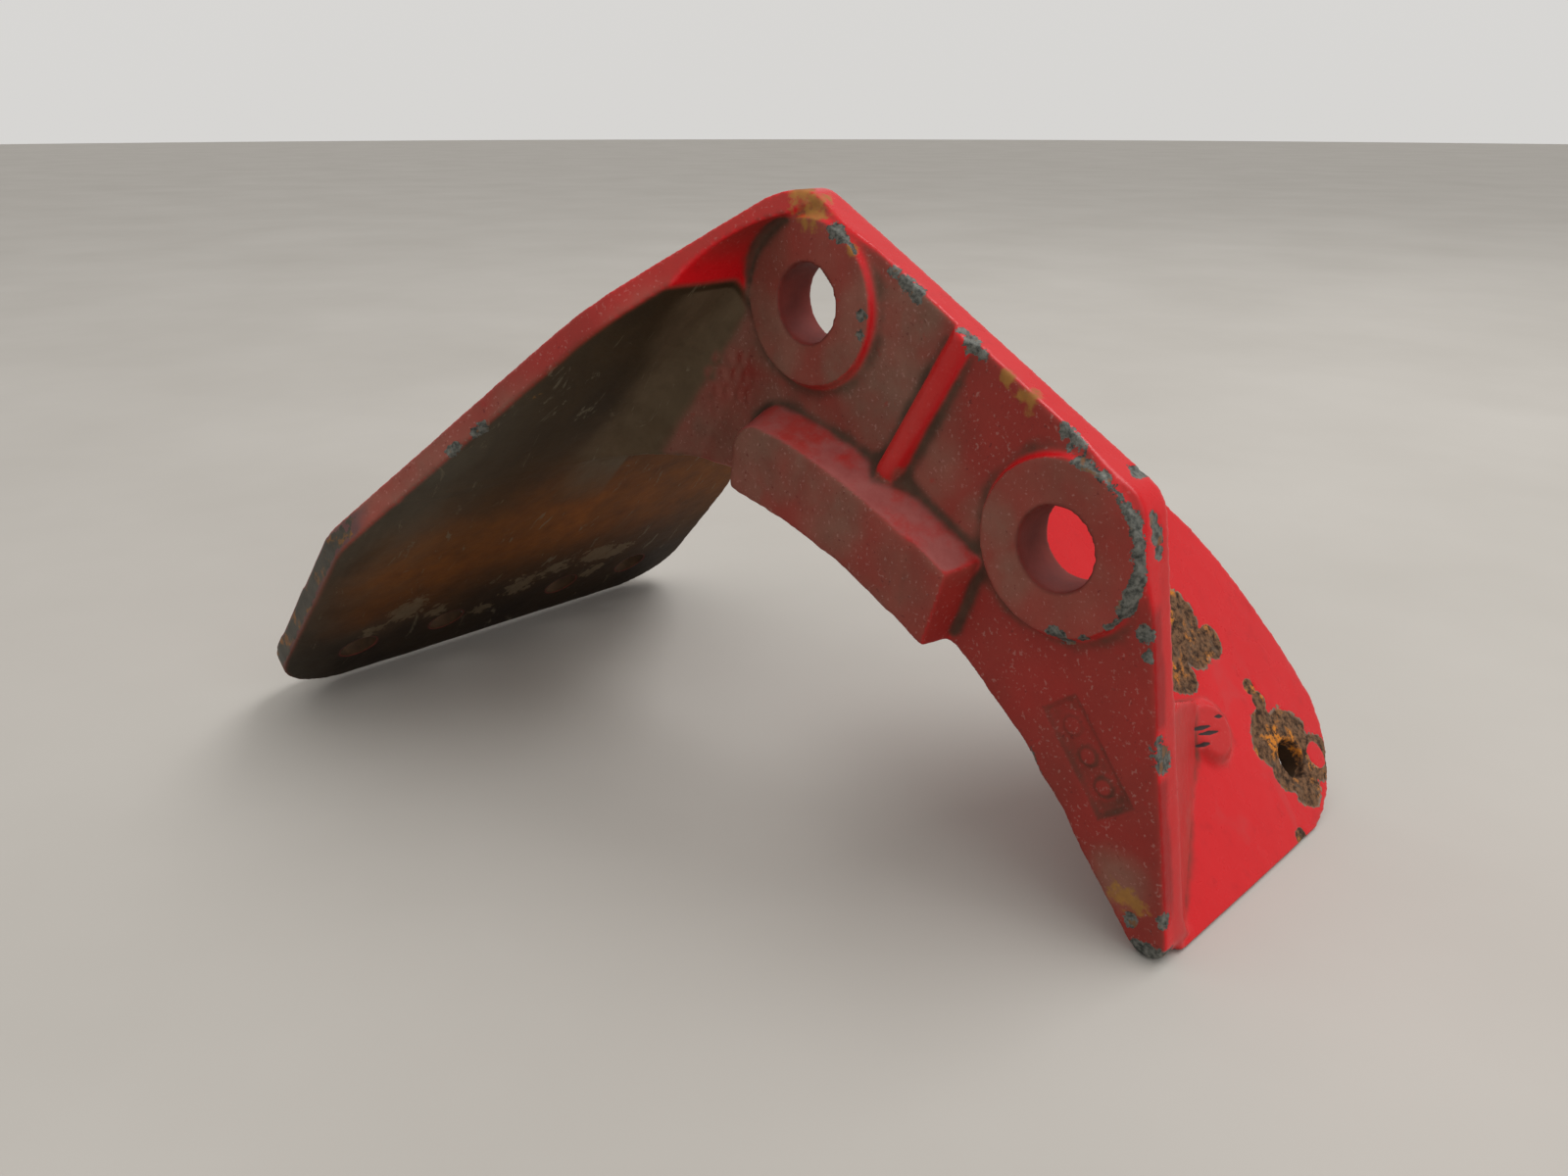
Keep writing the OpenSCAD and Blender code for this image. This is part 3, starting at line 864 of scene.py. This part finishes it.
def bare_chips(k):
    """Chips down to grey iron, some with a rust-stained side; returns their mask."""
    mask = k.crisp(k.attribute("chip"), 1.1, 0.22, 0.03)
    iron = k.mix(k.ramp(k.noise(1.5, 5, 0.7), 0.3, 0.68), (0.022, 0.025, 0.022), (0.165, 0.165, 0.145))
    iron = k.mix(k.ramp(k.noise(3.6, 4), 0.60, 0.68, 0.0, 0.8), iron, (0.20, 0.085, 0.03))
    k.lay(mask, iron, 0.5, 0.25)
    k.lay(k.ramp(k.attribute("gouge"), 0.1, 0.4), (0.03, 0.018, 0.018), 0.6)
    return mask


def surface_height(k, rusty, grain, chipped):
    """The fine relief of paint, film, machined faces, worn iron, rust and chips, added up."""
    brushed = k.noise(0.7, 2, 0.5, 0.0, (1.0, 1.0, 0.12))
    reliefs = [
        (k.noise(2.6, 3), 0.7),
        (k.noise(0.8, 3), k.mix_value(k.attribute("film"), 0.12, 0.55)),
        (k.times(brushed, k.attribute("machined")), 0.5),
        (k.times(k.noise(3.5, 6, 0.7), k.attribute("inside")), 2.2),
        (k.times(grain, rusty), 2.6),
        (chipped, -0.9),
    ]
    height = 0.0
    for relief, share in reliefs:
        height = k.math("ADD", height, k.times(relief, share))
    return height


def painted_iron():
    """The casting's one material, coat by coat from the paint up."""
    k = Nodes("painted_iron")
    red_enamel(k)
    road_film(k)
    ledge_dust(k)
    pale_specks(k)
    corner_muck_and_shade(k)
    flange_inside(k)
    stripped_edges(k)
    hole_walls(k)
    rust_stains(k)
    rusty, grain = rust_patches(k)
    chipped = bare_chips(k)
    return k.finish(surface_height(k, rusty, grain, chipped))


# ---------------------------------------------------------------- stage


def make_floor():
    """A wide round floor, just below the casting."""
    k = Nodes("pale_floor")
    k.colour = k.mix(k.noise(160, 4), (0.42, 0.395, 0.36), (0.52, 0.495, 0.46))
    k.rough, k.metal = 0.7, 0.0
    radius, sides, z = 8.0, 128, GROUND * MM - 0.0003
    mesh = bpy.data.meshes.new("floor")
    turns = [2 * math.pi * i / sides for i in range(sides)]
    rim = [(radius * math.cos(t), radius * math.sin(t), z) for t in turns]
    mesh.from_pydata(rim, [], [tuple(range(sides))])
    mesh.materials.append(k.finish())
    floor = bpy.data.objects.new("floor", mesh)
    bpy.context.scene.collection.objects.link(floor)


def make_world():
    """Soft white surroundings, brighter overhead."""
    scene = bpy.context.scene
    scene.view_settings.view_transform = "Standard"
    world = bpy.data.worlds.new("studio")
    scene.world = world
    world.use_nodes = True
    tree = world.node_tree
    background = tree.nodes["Background"]
    background.inputs["Color"].default_value = (1.0, 0.985, 0.96, 1.0)
    way = tree.nodes.new("ShaderNodeTexCoord")
    split = tree.nodes.new("ShaderNodeSeparateXYZ")
    lift = tree.nodes.new("ShaderNodeMapRange")
    tree.links.new(way.outputs["Generated"], split.inputs[0])
    tree.links.new(split.outputs[2], lift.inputs[0])
    limits = {"From Min": 0.0, "From Max": 0.9, "To Min": 0.68, "To Max": 0.74}
    for name, x in limits.items():
        lift.inputs[name].default_value = x
    tree.links.new(lift.outputs[0], background.inputs["Strength"])


def area_light(name, place, target, size, watts):
    """A soft rectangular lamp at place, facing target."""
    data = bpy.data.lights.new(name, "AREA")
    data.shape = "RECTANGLE"
    data.size, data.size_y = size
    data.energy = watts
    ob = bpy.data.objects.new(name, data)
    ob.location = place
    ob.rotation_mode = "QUATERNION"
    ob.rotation_quaternion = (Vector(target) - Vector(place)).to_track_quat("-Z", "Y")
    bpy.context.scene.collection.objects.link(ob)


def make_lights():
    """One large lamp above and behind, and a weak one from the right."""
    centre = (-0.02, 0.0, -0.06)
    area_light("overhead", (0.45, 0.55, 1.3), centre, (1.3, 0.5), 12)
    area_light("right_fill", (1.3, -0.1, 0.7), centre, (0.9, 0.9), 2.5)


def make_camera():
    """The photo's viewpoint: about 46 degrees round to the right and 22 degrees down."""
    data = bpy.data.cameras.new("photo_view")
    data.sensor_width = 36.0
    data.lens = 27.05
    data.clip_start, data.clip_end = 0.01, 30.0
    camera = bpy.data.objects.new("photo_view", data)
    camera.location = (0.18813, -0.18898, 0.03944)
    right = Vector((0.6959, 0.7181, 0.0)).normalized()
    up = Vector((-0.2688, 0.2605, 0.9273)).normalized()
    camera.rotation_mode = "QUATERNION"
    camera.rotation_quaternion = Matrix((right, up, right.cross(up))).transposed().to_quaternion()
    bpy.context.scene.collection.objects.link(camera)
    bpy.context.scene.camera = camera


casting = build_casting()
casting.data.materials.append(painted_iron())
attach(casting, "root")
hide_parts("bracket_casting")
make_floor()
make_world()
make_lights()
make_camera()
